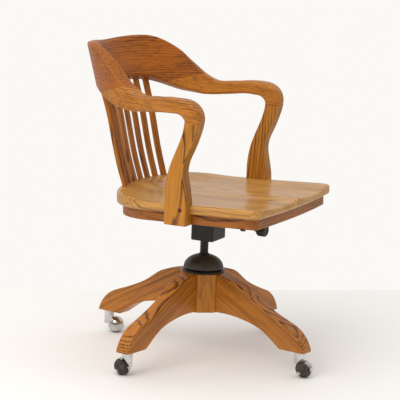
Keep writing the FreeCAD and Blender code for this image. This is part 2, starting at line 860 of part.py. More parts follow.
def saddle_depth(x, y):
    """Depth of the hollowed seat: a bowl behind, two thigh channels and a ridge between."""
    forward = ease((-30.0 - y) / 140.0)
    rim = 1.0 + 9.5 * ease((175.0 - y) / 150.0) - 2.0 * ease((-60.0 - y) / 190.0)
    ridge = 6.0 * math.exp(-(x / 42.0) ** 2)
    core = 14.0 + forward * (2.0 - ridge)
    side = abs(x) / size("seat_half_width")
    behind = max(0.0, y + 10.0) / 218.0
    spread = (side ** 3 + behind ** 3) ** (1 / 3)
    return rim + (core - rim) * (1 - ease((spread - 0.55) / 0.40))


def saddle_tool():
    """Solid above the hollowed surface, taken from the level board."""
    top = size("seat_low") + size("seat_thickness") + 1.0
    columns = [-264.0 + 528.0 * i / 24 for i in range(25)]
    rows = [-290.0 + 520.0 * j / 20 for j in range(21)]
    grid = [[Vector(x, y, top - saddle_depth(x, y)) for y in rows] for x in columns]
    surface = Part.BSplineSurface()
    surface.interpolate(grid)
    return surface.toShape().extrude(Vector(0, 0, 60))


def make_seat_board():
    """Saddled board with round edges, above and below."""
    low = size("seat_low")
    body = new_body("seat_board")
    sketch = new_sketch(body, "XY_Plane", low, "sizes.seat_low")
    draw(sketch, seat_outline(0.0, FRONT_CORNER + 6))
    block = pad(body, sketch, size("seat_thickness") + 1.0, "sizes.seat_thickness + 1")

    def low_rim(edge):
        return edge.BoundBox.ZMax < low + 0.1

    dress(body, "Fillet", block, edges_where(block.Shape, low_rim), 8.0)
    tool = fixed_shape("saddle_tool", saddle_tool())
    board = cut("seat_board_saddled", body, [tool])
    edges = []
    for i, edge in enumerate(board.Shape.Edges):
        bounds = edge.BoundBox
        if bounds.ZMin > low + 10.0:
            edges.append((i + 1, BOARD_ROUND, BOARD_ROUND))
    rounded = doc.addObject("Part::Fillet", "seat_board_rounded")
    rounded.Base = board
    rounded.Edges = edges
    doc.recompute()
    if rounded.Shape.isNull() or not rounded.Shape.isValid():
        raise RuntimeError("seat board edges")
    rounded.Placement = PITCHED
    return rounded


BOARD_ROUND = 7.0
seat_blank = make_seat_board()


POST_FRONT = -71.0
POST_REAR = -9.5
POST_LOW = 396.5
PLUG = (-54.0, 436.0)
BOLTS = [(-26.0, 407.0), (-55.0, 407.0)]
BOLT_HOLE_RADIUS = 4.0


def make_apron():
    """Four rails under the board: straight front and sides and a curved back."""
    low = size("seat_low") - size("apron_height")
    inset = size("apron_inset")
    thick = size("apron_thickness")
    outer = Part.Face(Part.Wire([e.toShape() for e in seat_outline(inset, FRONT_CORNER)]))
    inner = Part.Face(Part.Wire([e.toShape() for e in seat_outline(inset + thick, 4.0)]))
    ring = outer.cut(inner).extrude(Vector(0, 0, size("apron_height")))
    ring.translate(Vector(0, 0, low))
    front_line = -size("seat_front") + inset * 0.75 + thick - 4.0
    back_line = CORNER_Y + 8.0
    tall = size("apron_height") + 4
    reach = 400.0
    cells = {
        "apron_front": (-reach, -reach, reach, front_line),
        "apron_right": (-reach, front_line, 0, back_line),
        "apron_left": (0, front_line, reach, back_line),
        "apron_back": (-reach, back_line, reach, reach),
    }
    bolt_holes = []
    for y, z in BOLTS:
        hole = Part.makeCylinder(BOLT_HOLE_RADIUS, 2 * reach, Vector(-reach, y, z), Vector(1, 0, 0))
        hole.Placement = PITCHED.inverse().multiply(hole.Placement)
        bolt_holes.append(hole)
    for name, (x0, y0, x1, y1) in cells.items():
        cell = Part.makeBox(x1 - x0, y1 - y0, tall, Vector(x0, y0, low - 2))
        rail = ring.common(cell).cut(bolt_holes)
        keep(fixed_shape(name + "_rail", rail.Solids[0], PITCHED), name)


make_apron()

BATTEN_HALF_WIDTH = 28.0
BATTEN_END_GAP = 8.0


def make_battens():
    """Two cross battens that carry the seat plate, clear of the rails and bolt heads."""
    high = size("seat_low")
    low = high - size("batten_thickness") - 1.0
    inset = size("apron_inset") + size("apron_thickness") + BATTEN_END_GAP
    room = Part.Face(Part.Wire([e.toShape() for e in seat_outline(inset, 4.0)]))
    room = room.extrude(Vector(0, 0, 2 * high))
    reach = size("seat_half_width")
    solids = []
    for centre in (-50.0, 60.0):
        block = Part.makeBox(2 * reach, 2 * BATTEN_HALF_WIDTH, high - low,
                             Vector(-reach, centre - BATTEN_HALF_WIDTH, low))
        block = block.makeChamfer(2.5, [e for e in block.Edges if e.BoundBox.XLength > 100
                                        and e.BoundBox.ZMax < low + 0.1])
        block = block.common(room)
        for x, y in PLATE_SCREWS:
            if abs(y - centre) < BATTEN_HALF_WIDTH:
                hole = Part.makeCylinder(2.55, 15.0, Vector(x, y, low - 0.5))
                block = block.cut(hole)
        solids.append(block.Solids[0])
    return keep(fixed_shape("batten_pair", Part.makeCompound(solids), PITCHED), "battens")


make_battens()


# Arm posts

def post_outline():
    """Side view of an arm post: straight foot, slim waist and a forward-leaning head."""
    joint = size("arm_joint")
    return [
        curve([(POST_FRONT, 452), (-67.5, 478), (-62, 505), (-58, 530), (-61, 553), (-73, 583),
               (-88, 622), (-96.5, joint)]),
        line((-96.5, joint), (-56, joint)),
        curve([(-56, joint), (-52, 630), (-39, 593), (-19, 540), (-11, 500), (-9.5, 475),
               (POST_REAR, 452)]),
        line((POST_REAR, 452), (POST_REAR, POST_LOW)),
        line((POST_REAR, POST_LOW), (POST_FRONT, POST_LOW)),
        line((POST_FRONT, POST_LOW), (POST_FRONT, 452)),
    ]


def make_arm_post(name, side):
    """Sawn post let into the seat's edge, with a plugged screw and two bolt holes."""
    start = size("post_inner")
    thick = size("post_thickness")
    outer = side * (start + thick)
    body = new_body(name)
    sketch = new_sketch(body, "YZ_Plane", min(side * start, outer))
    draw(sketch, post_outline())
    block = pad(body, sketch, thick, "sizes.post_thickness")

    def outer_long_edge(edge):
        bounds = edge.BoundBox
        return bounds.ZLength > 30 and abs(bounds.Center.x - outer) < 0.1

    rounded = dress(body, "Fillet", block, edges_where(block.Shape, outer_long_edge), 5.0)

    def inner_long_edge(edge):
        bounds = edge.BoundBox
        return bounds.ZLength > 60 and abs(bounds.Center.x - side * start) < 0.1

    dress(body, "Fillet", rounded, edges_where(rounded.Shape, inner_long_edge), 4.0)
    plug = cylinder("plug_hole", 5.5, 12.0, along_x(*PLUG, min(outer, outer - side * 12.0)))
    holes = [cylinder("bolt_hole", BOLT_HOLE_RADIUS, 30.0, along_x(y, z, min(side * start, side * (start + 30.0))))
             for y, z in BOLTS]
    return keep(cut(name + "_cut", body, [plug] + holes), name)


for side_name, side in SIDES:
    make_arm_post("arm_post_" + side_name, side)


# Arm bow and crest

RAKE_HEIGHT = 694.0
ARM_CORNER = 8.0
ARM_START_Y = -20.0
ARM_UNDER = 676.5
ARM_TOP = 713.5
UNDER_BEVEL = 1.5
BOW_DEGREE = 2
# Half of the bow's outer face at RAKE_HEIGHT, from the middle of the back to the arm's front
BOW_PLAN = [(0, 302), (62.6, 293.8), (121, 269.6), (171.1, 231.1), (209.6, 181), (221, 163),
            (229.5, 143), (237, 120), (243.5, 95), (251, 65), (259.5, 35), (266.5, 5), (269.8, -20)]
BOW_STATIONS = [
    # top height, lower height, thickness below, thickness above, from the middle to the arm
    (812.2, 703, 44, 26),
    (813, 703, 44, 26),
    (815, 703, 44, 26),
    (817.2, 703, 44, 26),
    (819.2, 702.5, 44, 26),
    (820.4, 700.5, 44, 26),
    (819.9, 694.5, 44, 26),
    (814.6, 685.5, 44, 27.5),
    (802.5, 676.3, 44, 29.5),
    (783, 670.4, 44, 34),
    (757.5, 667, 42.7, 38),
    (728.5, 665.5, 42, 41),
    (709.8, 667.6, 42, 42),
    (706, 670, 42, 42),
    (708, 673, 42, 42),
    (711, 675.3, 42, 42),
]


def section(origin, outward, low, high, thick_low, thick_high, lean, rake):
    """Round-cornered section of the bow, square to its own lean, and raked back with height."""
    corners = [
        Vector(0, low, 0), Vector(0, high, 0),
        Vector(-thick_high, high + lean * thick_high, 0),
        Vector(-thick_low, low + UNDER_BEVEL * lean * thick_low, 0),
    ]

    def lift(p):
        back = rake * (p.y - RAKE_HEIGHT)
        return Vector(origin[0] + outward[0] * p.x, origin[1] + outward[1] * p.x + back, p.y)

    rounds = []
    for i in range(4):
        here = corners[i]
        before = here + (corners[i - 1] - here).normalize() * ARM_CORNER
        after = here + (corners[(i + 1) % 4] - here).normalize() * ARM_CORNER
        middle = here + ((before - here) + (after - here)) * (1 - math.sqrt(0.5))
        rounds.append((before, middle, after))
    edges = []
    for i, (before, middle, after) in enumerate(rounds):
        edges.append(Part.Arc(lift(before), lift(middle), lift(after)).toShape())
        edges.append(Part.LineSegment(lift(after), lift(rounds[(i + 1) % 4][0])).toShape())
    return Part.Wire(edges)


def bow_sections():
    """Sections from the right arm round the back to the left arm."""
    plan = curve([(-x, y) for x, y in BOW_PLAN[:0:-1]] + BOW_PLAN).toShape()
    half_length = plan.Length / 2
    rake = size("bow_rake")
    sections = []
    for mirror in (-1, 1):
        run = []
        for i, (top, low, thick_low, thick_high) in enumerate(BOW_STATIONS):
            at = plan.getParameterByLength(half_length * (1 + i / len(BOW_STATIONS)))
            point = plan.valueAt(at)
            along = plan.tangentAt(at)
            outward = (-along.y * mirror, along.x)
            lean = rake * outward[1]
            run.append(section((point.x * mirror, point.y), outward, low, top, thick_low,
                               thick_high, lean, rake))
        width = size("arm_width")
        run.append(section((size("arm_outer") * mirror, ARM_START_Y), (mirror, 0.0), ARM_UNDER,
                           ARM_TOP, width, width, 0.0, 0.0))
        sections += run[::-1] if mirror < 0 else run[1:]
    return sections


bow_blank = Part.makeLoft(bow_sections(), True, False, False, BOW_DEGREE)


def arm_nose(side):
    """Front end of an arm: rounded nose above and a swept block down to the post."""
    joint = size("arm_joint")
    outline = [
        curve([(ARM_START_Y, ARM_UNDER), (-33, 676.2), (-44, 672.5), (-52.5, 665), (-56, joint)],
              (-1, 0), (-0.1, -1)),
        line((-56, joint), (-96.5, joint)),
        curve([(-96.5, joint), (-97.5, 667), (-95, 680), (-87, 694), (-74, 705), (-57, 711.3),
               (-38, 713.4), (ARM_START_Y, ARM_TOP)], (-0.2, 1), (1, 0)),
        line((ARM_START_Y, ARM_TOP), (ARM_START_Y, ARM_UNDER)),
    ]
    face = Part.Face(Part.Wire([edge.toShape() for edge in outline]))
    face.rotate(Vector(0, 0, 0), Vector(1, 1, 1), 120)
    outer = size("arm_outer")
    start = outer - size("arm_width") if side > 0 else -outer
    face.translate(Vector(start, 0, 0))
    block = face.extrude(Vector(size("arm_width"), 0, 0))

    def long_edge(edge):
        bounds = edge.BoundBox
        return bounds.XLength < 0.1 and bounds.YLength > 30 and bounds.ZLength > 5

    return block.makeFillet(ARM_CORNER, [edge for edge in block.Edges if long_edge(edge)])


SCARF_HIGH = (237.0, 129.0, 729.0)
SCARF_LOW = (168.0, 237.0, 696.0)
SCARF_NIB = 5.0


def scarf_wedge(side):
    """Block over one arm's share of the bow: under the scarf and ahead of its nib."""
    high = Vector(side * SCARF_HIGH[0], SCARF_HIGH[1], SCARF_HIGH[2])
    low = Vector(side * SCARF_LOW[0], SCARF_LOW[1], SCARF_LOW[2])
    flat = Vector(low.x - high.x, low.y - high.y, 0)
    span = flat.Length
    flat = flat.normalize()
    across = Vector(0, 0, 1).cross(flat)
    slope = (low.z - high.z) / span
    reach = 420.0
    floor = 560.0
    ceiling = high.z + 60.0
    profile = [
        (-reach, floor), (span, floor), (span, low.z), (-SCARF_NIB, high.z - SCARF_NIB * slope),
        (-SCARF_NIB, ceiling), (-reach, ceiling),
    ]
    ground = Vector(high.x, high.y, 0)
    points = [ground + flat * u + Vector(0, 0, v) - across * 160 for u, v in profile]
    return Part.Face(Part.makePolygon(points + [points[0]])).extrude(across * 320)


# Slats

SLAT_FOOT = (447.0, 320.0, -115.0)
SLAT_HEAD = (690.0, 345.0, -71.0)
SLAT_SPACING = 5.95
FOOT_TENON = 13.0
HEAD_TENON = 37.0


def slat_frame(index):
    """Placement and length of a slat, from its foot point to its head point."""
    bearing = math.radians((index - (size("slat_count") - 1) / 2) * SLAT_SPACING)
    outward = Vector(math.sin(bearing), math.cos(bearing), 0)
    ends = []
    for height, radius, centre in (SLAT_FOOT, SLAT_HEAD):
        ends.append(outward * radius + Vector(0, centre, height))
    axis = (ends[1] - ends[0])
    length = axis.Length
    axis = axis.normalize()
    across = axis.cross(outward).normalize()
    return Placement(ends[0], Rotation(across.cross(axis), across, axis, "ZXY")), length


def make_slat(index):
    """Flat slat with a slow S-curve, seen from its edge, and rounded corners."""
    place, length = slat_frame(index)
    half = size("slat_thickness") / 2
    body = new_body("slat%d" % (index + 1))
    sketch = new_sketch(body, "XZ_Plane")
    stations = [-FOOT_TENON, 0.0, 0.22 * length, 0.5 * length, 0.78 * length, length,
                length + HEAD_TENON]
    sway = [-0.4, 0.0, 2.4, 1.2, -1.6, 0.0, 0.6]
    outer = [(offset + half, s) for offset, s in zip(sway, stations)]
    inner = [(offset - half, s) for offset, s in zip(sway, stations)]
    draw(sketch, [curve(outer), line(outer[-1], inner[-1]), curve(inner[::-1]),
                  line(inner[0], outer[0])])
    block = pad(body, sketch, size("slat_width"), "sizes.slat_width", midplane=True)

    def long_edge(edge):
        return edge.BoundBox.ZLength > 100

    dress(body, "Fillet", block, edges_where(block.Shape, long_edge), 2.8)
    body.Placement = place
    return keep(body, "slat_%d" % (index + 1))


slats = [make_slat(index) for index in range(int(size("slat_count")))]
slat_group = doc.addObject("Part::Compound", "slat_group")
slat_group.Links = slats
doc.recompute()
SLAT_SOLIDS = [slat.Shape for slat in slats]

crest = bow_blank
for side_name, side in SIDES:
    wedge = scarf_wedge(side)
    arm = bow_blank.common(wedge).fuse(arm_nose(side)).removeSplitter()
    keep(fixed_shape("arm_" + side_name + "_sawn", arm.Solids[0]), "arm_" + side_name)
    crest = crest.cut(wedge)
crest_sawn = fixed_shape("crest_sawn", crest.Solids[0])
keep(cut("crest_mortised", crest_sawn, [slat_group]), "crest_rail")

# The board is let out for the arm posts and mortised for the slats
notches = []
for side_name, side in SIDES:
    gap = 0.2
    inner = size("post_inner") - gap
    outer = inner + 60.0
    low_x = min(side * inner, side * outer)
    notches.append(box("seat_notch", (low_x, POST_FRONT - gap, size("seat_low") - 20),
                       (low_x + 60.0, POST_REAR + gap, size("seat_low") + 60)))
keep(cut("seat_board_mortised", seat_blank, notches + [slat_group]), "seat_board")


# Fasteners of the arm posts

def make_post_bolts():
    """Hexagon-headed bolts through the side rails into the posts."""
    head_face = size("seat_half_width") - size("apron_inset") - size("apron_thickness")
    solids = []
    for side_name, side in SIDES:
        for y, z in BOLTS:
            head = Part.Face(Part.makePolygon(
                [Vector(0, 7.0 * math.cos(a), 7.0 * math.sin(a))
                 for a in [math.pi / 3 * k for k in range(7)]]))
            bolt = head.extrude(Vector(-5.0 * side, 0, 0))
            shank_length = size("post_inner") + 29.0 - head_face
            shank = Part.makeCylinder(3.95, shank_length, Vector(0, 0, 0), Vector(side, 0, 0))
            bolt = bolt.fuse(shank)
            bolt.translate(Vector(side * (head_face - 0.1), y, z))
            solids.append(bolt)
    return keep(fixed_shape("post_bolt_set", Part.makeCompound(solids)), "post_bolts")


def make_post_plugs():
    """Turned plugs over the screws that hold the posts to the board's edge."""
    outer = size("post_inner") + size("post_thickness")
    solids = []
    for side_name, side in SIDES:
        plug = Part.makeCylinder(5.5, 10.0, Vector(side * (outer + 0.6), *PLUG), Vector(-side, 0, 0))
        rim = [edge for edge in plug.Edges if abs(abs(edge.BoundBox.Center.x) - outer - 0.6) < 0.1
               and edge.BoundBox.YLength > 5]
        solids.append(plug.makeFillet(0.5, rim))
    return keep(fixed_shape("post_plug_set", Part.makeCompound(solids)), "post_plugs")


make_post_bolts()
make_post_plugs()


# Ball casters

AXLE_SLOPE = 27.0
AXLE_RADIUS = 3.0
NECK_RADIUS = 13.5
NECK_LOW = 27.0
NECK_HIGH = 62.0
FACE_GAP = 0.3
TYRE_INNER = 15.0
TYRE_WIDTH = 14.0
CAP_RADIUS = 22.0
CASTERS = [("right", 0, 64.0, 1), ("front", 1, -112.0, -1), ("left", 2, -65.0, -1), ("back", 3, -65.0, 1)]


def make_sleeves():
    """Flanged sockets pressed up into the legs."""
    solids = []
    foot = size("leg_floor_gap")
    bore = size("stem_radius") + size("running_gap")
    for _, index in LEGS:
        angle = math.radians(leg_angle(index))
        centre = Vector(size("caster_reach") * math.cos(angle), size("caster_reach") * math.sin(angle), 0)
        tube = Part.makeCylinder(SLEEVE_RADIUS, SLEEVE_DEPTH, centre + Vector(0, 0, foot))
        rim = Part.makeCylinder(NECK_RADIUS, 1.6, centre + Vector(0, 0, foot - 1.6))
        hole = Part.makeCylinder(bore, SLEEVE_DEPTH - 1.0, centre + Vector(0, 0, foot - 3.0))
        solids.append(tube.fuse(rim).cut(hole))
    return keep(fixed_shape("sleeve_set", Part.makeCompound(solids)), "caster_sleeves")


make_sleeves()


def caster_frames(index, yaw, side):
    """Placement of a caster about its stem, and of its inclined axle at the ball's centre."""
    angle = math.radians(leg_angle(index))
    stem = Vector(size("caster_reach") * math.cos(angle), size("caster_reach") * math.sin(angle), 0)
    turned = Placement(stem, Rotation(Vector(0, 0, 1), yaw))
    slope = math.radians(AXLE_SLOPE)
    axle = Vector(0, side * math.cos(slope), -math.sin(slope))
    centre = Vector(size("caster_trail"), 0, size("ball_radius"))
    return turned, turned.multiply(Placement(centre, Rotation(Vector(0, 0, 1), axle)))


def make_hood(name, turned, inclined):
    """Half-ball hood with a neck and stem, open towards the wheel."""
    radius = size("ball_radius")

    def at(placement, z):
        return placement.multiply(Placement(Vector(0, 0, z), Rotation()))

    ball = doc.addObject("Part::Sphere", name + "_ball")
    ball.setExpression("Radius", "sizes.ball_radius")
    ball.Placement = inclined
    neck = cylinder(name + "_neck", NECK_RADIUS, NECK_HIGH - NECK_LOW, at(turned, NECK_LOW))
    stem = cylinder(name + "_stem", size("stem_radius"), 30.0, at(turned, NECK_HIGH),
                    "sizes.stem_radius")
    whole = doc.addObject("Part::MultiFuse", name + "_whole")
    whole.Shapes = [ball, neck, stem]
    room = doc.addObject("Part::Sphere", name + "_room")
    room.Radius = radius - 2.2
    room.Placement = inclined
    open_side = cylinder(name + "_open", 60.0, 60.0, at(inclined, -FACE_GAP))
    shell = cut(name + "_shell", whole, [room, open_side])
    boss = cylinder(name + "_boss", 6.0, radius - 1.5 - FACE_GAP, at(inclined, -radius + 1.2))
    joined = doc.addObject("Part::MultiFuse", name + "_joined")
    joined.Shapes = [shell, boss]
    doc.recompute()
    bore = cylinder(name + "_bore", AXLE_RADIUS, 18.0, at(inclined, -18.0 + 1.0))
    return keep(cut(name + "_cut", joined, [bore]), name)


def make_turned(name, edges, placement):
    body = new_body(name)
    sketch = new_sketch(body, "XZ_Plane")
    draw(sketch, edges)
    revolve(body, sketch)
    body.Placement = placement
    return keep(body, name)


def on_ball(radius, height):
    return (math.sqrt(radius ** 2 - height ** 2), height)


def make_caster(leg_name, index, yaw, side):
    turned, inclined = caster_frames(index, yaw, side)
    radius = size("ball_radius")
    prefix = "caster_" + leg_name
    make_hood(prefix + "_hood", turned, inclined)
    low = FACE_GAP
    make_turned(prefix + "_tyre", [
        line((TYRE_INNER, low), on_ball(radius, low)),
        arc(on_ball(radius, low), on_ball(radius, TYRE_WIDTH / 2), on_ball(radius, TYRE_WIDTH)),
        line(on_ball(radius, TYRE_WIDTH), (TYRE_INNER, TYRE_WIDTH)),
        line((TYRE_INNER, TYRE_WIDTH), (TYRE_INNER, low)),
    ], inclined)
    bore = AXLE_RADIUS + size("running_gap")
    crown = math.sqrt(CAP_RADIUS ** 2 - 6.0 ** 2)
    make_turned(prefix + "_wheel", [
        line((bore, low), (TYRE_INNER, low)),
        line((TYRE_INNER, low), (TYRE_INNER, TYRE_WIDTH)),
        line((TYRE_INNER, TYRE_WIDTH), on_ball(CAP_RADIUS, TYRE_WIDTH)),
        arc(on_ball(CAP_RADIUS, TYRE_WIDTH), on_ball(CAP_RADIUS, TYRE_WIDTH + 4.5), (6.0, crown)),
        line((6.0, crown), (bore, crown)),
        line((bore, crown), (bore, low)),
    ], inclined)
    head = crown + 0.2
    make_turned(prefix + "_axle", [
        line((0, -17.0), (AXLE_RADIUS, -17.0)),
        line((AXLE_RADIUS, -17.0), (AXLE_RADIUS, head)),
        line((AXLE_RADIUS, head), (5.0, head)),
        arc((5.0, head), (3.8, head + 1.0), (1.4, head + 1.5)),
        line((1.4, head + 1.5), (0, head + 1.5)),
        line((0, head + 1.5), (0, -17.0)),
    ], inclined)


for caster in CASTERS:
    make_caster(*caster)


# Checks and export

doc.recompute()
os.makedirs("parts", exist_ok=True)
for thing in doc.Objects:
    if "Invalid" in thing.State or "Error" in thing.State:
        raise RuntimeError("failed: " + thing.Name)
for thing in PARTS:
    shape = thing.Shape
    if shape.isNull() or not shape.isValid() or not shape.Solids:
        raise RuntimeError("bad shape: " + thing.Label)
for thing in PARTS:
    thing.Shape.exportStep("parts/" + thing.Label + ".step")
print(len(PARTS), "parts")
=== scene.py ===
import math

import bpy
from mathutils import Matrix, Vector

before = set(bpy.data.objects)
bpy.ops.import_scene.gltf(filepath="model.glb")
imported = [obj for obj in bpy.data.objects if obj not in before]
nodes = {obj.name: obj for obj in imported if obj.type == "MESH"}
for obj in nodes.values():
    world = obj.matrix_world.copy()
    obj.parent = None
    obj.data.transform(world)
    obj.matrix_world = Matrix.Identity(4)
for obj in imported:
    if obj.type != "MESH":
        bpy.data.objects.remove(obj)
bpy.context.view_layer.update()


# Node tree helpers

def srgb(red, green, blue):
    """Linear colour from an 8-bit screen colour."""
    def linear(c):
        c = c / 255
        return c / 12.92 if c <= 0.04045 else ((c + 0.055) / 1.055) ** 2.4
    return (linear(red), linear(green), linear(blue), 1.0)


def add_node(tree, kind, **settings):
    made = tree.nodes.new(kind)
    for key, value in settings.items():
        setattr(made, key, value)
    return made


class Tree:
    """A material's node tree, built one node at a time."""

    def __init__(self, name):
        self.material = bpy.data.materials.new(name)
        self.material.use_nodes = True
        self.tree = self.material.node_tree
        self.tree.nodes.clear()
        self.shader = self.node("ShaderNodeBsdfPrincipled")
        output = self.node("ShaderNodeOutputMaterial")
        self.link(self.shader.outputs["BSDF"], output.inputs["Surface"])

    def node(self, kind, **settings):
        return add_node(self.tree, kind, **settings)

    def link(self, source, target):
        self.tree.links.new(source, target)

    def put(self, value, socket):
        """Links a socket, or sets a plain value."""
        if isinstance(value, bpy.types.NodeSocket):
            self.link(value, socket)
        else:
            socket.default_value = value

    def math(self, operation, a, b=0.0, c=0.0, clamp=False):
        made = self.node("ShaderNodeMath", operation=operation, use_clamp=clamp)
        for value, socket in zip((a, b, c), made.inputs):
            self.put(value, socket)
        return made.outputs[0]

    def vector_math(self, operation, a, b=(0, 0, 0)):
        made = self.node("ShaderNodeVectorMath", operation=operation)
        self.put(a, made.inputs[0])
        self.put(b, made.inputs[1])
        return made.outputs[0]

    def stretch(self, vector, scale):
        return self.vector_math("MULTIPLY", vector, scale)

    def noise(self, vector, scale, detail=3.0, roughness=0.55, colour=False):
        made = self.node("ShaderNodeTexNoise")
        self.link(vector, made.inputs["Vector"])
        made.inputs["Scale"].default_value = scale
        made.inputs["Detail"].default_value = detail
        made.inputs["Roughness"].default_value = roughness
        return made.outputs["Color" if colour else "Fac"]

    def ramp(self, value, low, high, to_low=0.0, to_high=1.0):
        made = self.node("ShaderNodeMapRange", interpolation_type="SMOOTHSTEP")
        for socket, number in zip(list(made.inputs)[:5], (value, low, high, to_low, to_high)):
            self.put(number, socket)
        return made.outputs[0]

    def mix(self, factor, a, b, blend="MIX"):
        made = self.node("ShaderNodeMix", data_type="RGBA", blend_type=blend)
        self.put(factor, made.inputs[0])
        self.put(a, made.inputs[6])
        self.put(b, made.inputs[7])
        return made.outputs[2]

    def bump(self, height, strength, distance):
        made = self.node("ShaderNodeBump")
        self.link(height, made.inputs["Height"])
        made.inputs["Strength"].default_value = strength
        made.inputs["Distance"].default_value = distance
        self.link(made.outputs["Normal"], self.shader.inputs["Normal"])

    def object_space(self):
        return self.node("ShaderNodeTexCoord").outputs["Object"]


# Oak

class Oak:
    """Colours and figure of one kind of oak piece."""

    def __init__(self, light, dark, rings=120.0, contrast=1.0, wear=0.25, roughness=0.36):
        self.light = light
        self.dark = dark
        self.rings = rings
        self.contrast = contrast
        self.wear = wear
        self.roughness = roughness


LEG_OAK = Oak(srgb(196, 122, 40), srgb(74, 30, 3), rings=170.0, contrast=0.85)
POST_OAK = Oak(srgb(194, 126, 36), srgb(74, 32, 3), rings=190.0, contrast=0.85)
HUB_OAK = Oak(srgb(190, 120, 24), srgb(84, 38, 2), rings=200.0, contrast=0.8)
SEAT_OAK = Oak(srgb(206, 152, 78), srgb(108, 56, 10), rings=170.0, contrast=0.7, wear=0.45,
               roughness=0.24)
RAIL_OAK = Oak(srgb(172, 102, 30), srgb(74, 32, 4), rings=200.0, contrast=0.8)
ARM_OAK = Oak(srgb(198, 124, 34), srgb(86, 36, 3), rings=180.0, contrast=0.75, wear=0.3)
CREST_OAK = Oak(srgb(176, 98, 16), srgb(74, 28, 1), rings=170.0, contrast=0.7, wear=0.3)
SLAT_OAK = Oak(srgb(184, 112, 30), srgb(78, 32, 3), rings=220.0, contrast=0.75)
PLUG_OAK = Oak(srgb(96, 48, 10), srgb(56, 26, 3), rings=300.0)
CREST_BEND = 0.25

# Figure of the wood: noise cycles per metre, along the grain and then across it
SWAY_CYCLES = (2.2, 9.0, 9.0)
SWAY_REACH = (0.0, 0.034, 0.034)
UNEVEN_CYCLES = (1.0, 30.0, 30.0)
STRENGTH_CYCLES = (1.6, 26.0, 26.0)
PORE_CYCLES = (38.0, 1500.0, 1500.0)
FIBRE_CYCLES = (7.0, 380.0, 380.0)
STREAK_CYCLES = (1.4, 140.0, 140.0)
PATCH_CYCLES = (3.0, 13.0, 13.0)
RUBBED_CYCLES = 7.0

# How much each part of the figure darkens the wood
RING_SHADE = 0.95
FIBRE_SHADE = 0.34
STREAK_SHADE = 0.40
PATCH_SHADE = 0.26
SHADE_OFFSET = 0.26
PORE_SHADE = 0.6

# Lacquer
SPECULAR = 0.30
COAT = 0.12
COAT_ROUGHNESS = 0.18
GRAIN_RELIEF = 0.0003


